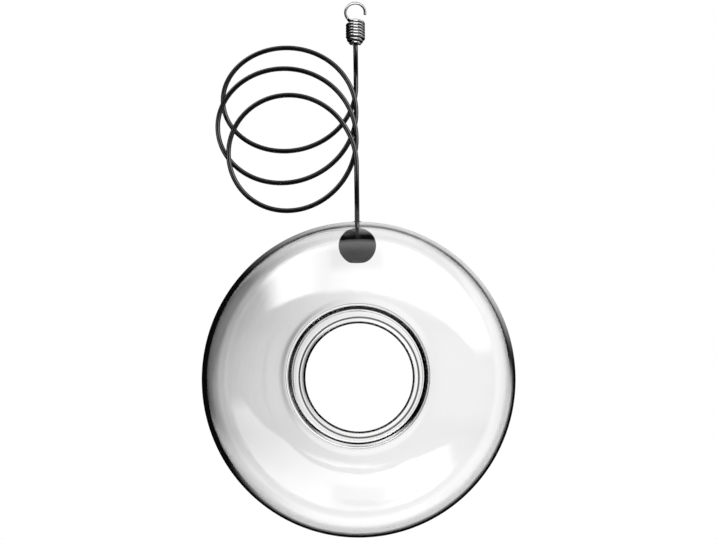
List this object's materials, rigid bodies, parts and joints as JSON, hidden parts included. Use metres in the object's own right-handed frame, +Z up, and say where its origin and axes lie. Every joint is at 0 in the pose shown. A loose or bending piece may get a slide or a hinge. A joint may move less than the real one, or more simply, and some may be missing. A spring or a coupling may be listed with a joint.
{
  "type": "hanging bird feeder",
  "caption": "Hanging bird feeder: clear flattened glass ball with a round mouth through it, held by a rubber ball plug on a looped black rubber cord with a wire hook.",
  "frame": {"origin": "the point inside the top of the hook's ring that the feeder hangs on", "axes": "+Z up along the cord, +Y from the front mouth to the rear mouth, +X to the right seen from the front"},
  "size_m": [0.2, 0.1068, 0.351],
  "materials": {
    "clear_glass": "clear, fire polished",
    "black_rubber": "matt moulded",
    "grey_rubber": "matt moulded",
    "cord_rubber": "satin extruded",
    "zinc_steel": "zinc plated",
    "stainless_wire": "polished drawn wire"
  },
  "bodies": {
    "hook": {"hook_spring": "stainless_wire"},
    "head": {"hook_ferrule": "zinc_steel", "cord_end": "cord_rubber"},
    "cord": {"cord_tail": "cord_rubber", "cord_loops": "cord_rubber", "cord_lead": "cord_rubber", "plug_ferrule": "zinc_steel"},
    "plug": {"ball_plug": "grey_rubber", "plug_washer": "zinc_steel"},
    "glass": {"glass_bowl": "clear_glass", "hole_grommet": "black_rubber"}
  },
  "joints": [
    {"name": "head_swivel", "type": "hinge", "parent": "hook", "child": "head", "pos_m": [0, 0, -0.02326], "axis": [0, 0, 1], "continuous": true},
    {"name": "cord_swing", "type": "hinge", "parent": "head", "child": "cord", "pos_m": [0, 0, -0.02956], "axis": [0, 1, 0], "range_deg": [-25, 25]},
    {"name": "plug_swivel", "type": "hinge", "parent": "cord", "child": "plug", "pos_m": [0, 0, -0.16519], "axis": [0, 0, 1], "continuous": true},
    {"name": "glass_rock", "type": "hinge", "parent": "plug", "child": "glass", "pos_m": [0, 0, -0.16519], "axis": [1, 0, 0], "range_deg": [-2, 2]}
  ]
}
